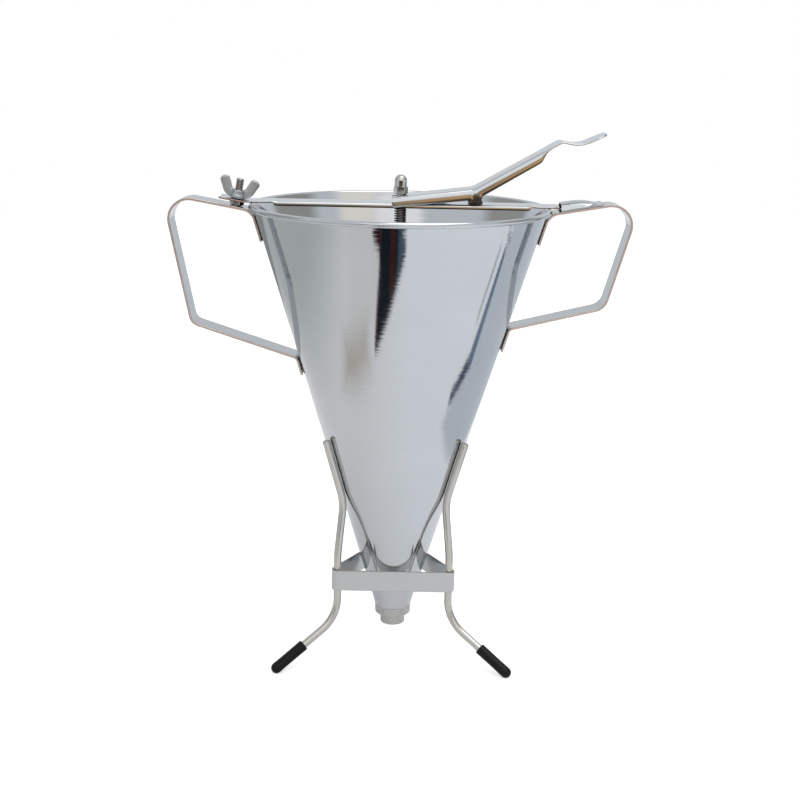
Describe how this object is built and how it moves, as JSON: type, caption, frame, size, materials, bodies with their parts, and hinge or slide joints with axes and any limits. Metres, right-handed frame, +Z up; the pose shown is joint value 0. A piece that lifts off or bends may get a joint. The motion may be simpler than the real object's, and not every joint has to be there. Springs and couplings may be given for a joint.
{
  "type": "pancake batter dispenser",
  "caption": "Steel batter funnel with strap handles, a thumb lever that lifts a sprung plunger off its spout, a bridge bar under a wing nut, and a wire stand on vinyl feet.",
  "frame": {"origin": "on the floor under the funnel's axis, which is the middle of the feet's plane", "axes": "+Z up along the funnel's axis, +X towards the thumb tab of the lever and the right handle, +Y away from the viewer, -X towards the wing nut"},
  "size_m": [0.29, 0.19, 0.3465],
  "materials": {
    "polished_stainless": "spun stainless steel sheet, mirror polished",
    "strip_stainless": "polished stainless strip with plain cut edges",
    "turned_stainless": "turned stainless steel, satin",
    "plated_hardware": "cast and rolled hardware, semi-matte",
    "wire_stainless": "drawn stainless wire, bright",
    "spring_wire": "spring wire, darkened",
    "black_vinyl": "dipped black vinyl, slightly glossy"
  },
  "bodies": {
    "stand": {"leg_front_left": "wire_stainless", "leg_front_right": "wire_stainless", "leg_back": "wire_stainless", "foot_cap_front_left": "black_vinyl", "foot_cap_front_right": "black_vinyl", "foot_cap_back": "black_vinyl", "stand_band": "strip_stainless"},
    "funnel": {"funnel_cone": "polished_stainless", "outlet_spout": "turned_stainless", "left_handle": "strip_stainless", "right_handle": "strip_stainless", "clamp_stud": "plated_hardware", "spacer_nut": "plated_hardware", "bridge_keeper": "strip_stainless", "bridge_bar": "strip_stainless", "pivot_bracket": "strip_stainless"},
    "wing": {"wing_nut": "plated_hardware"},
    "lever_arm": {"lever": "strip_stainless", "pivot_pin": "turned_stainless"},
    "piston": {"piston_rod": "turned_stainless", "cap_nut": "plated_hardware", "spring_washer": "turned_stainless", "stop_pin": "turned_stainless", "plunger_tip": "turned_stainless", "return_spring": "spring_wire"}
  },
  "joints": [
    {"name": "funnel_lift", "type": "slide", "parent": "stand", "child": "funnel", "axis": [0, 0, 1], "range_m": [0, 0.16]},
    {"name": "wing_nut_turn", "type": "hinge", "parent": "funnel", "child": "wing", "pos_m": [-0.103, 0, 0.29933], "axis": [0.1736, 0, 0.9848], "continuous": true},
    {"name": "lever_pivot", "type": "hinge", "parent": "funnel", "child": "lever_arm", "pos_m": [0.0467, 0, 0.30855], "axis": [0, 1, 0], "range_deg": [0, 24]},
    {"name": "piston_slide", "type": "slide", "parent": "funnel", "child": "piston", "axis": [0, 0, 1], "range_m": [0, 0.021], "stiffness_N_per_m": 400, "springref_m": -0.01, "deforming": ["return_spring"]}
  ],
  "couplings": [
    {"joint": "piston_slide", "follows": "lever_pivot", "m_per_rad": 0.04986}
  ]
}
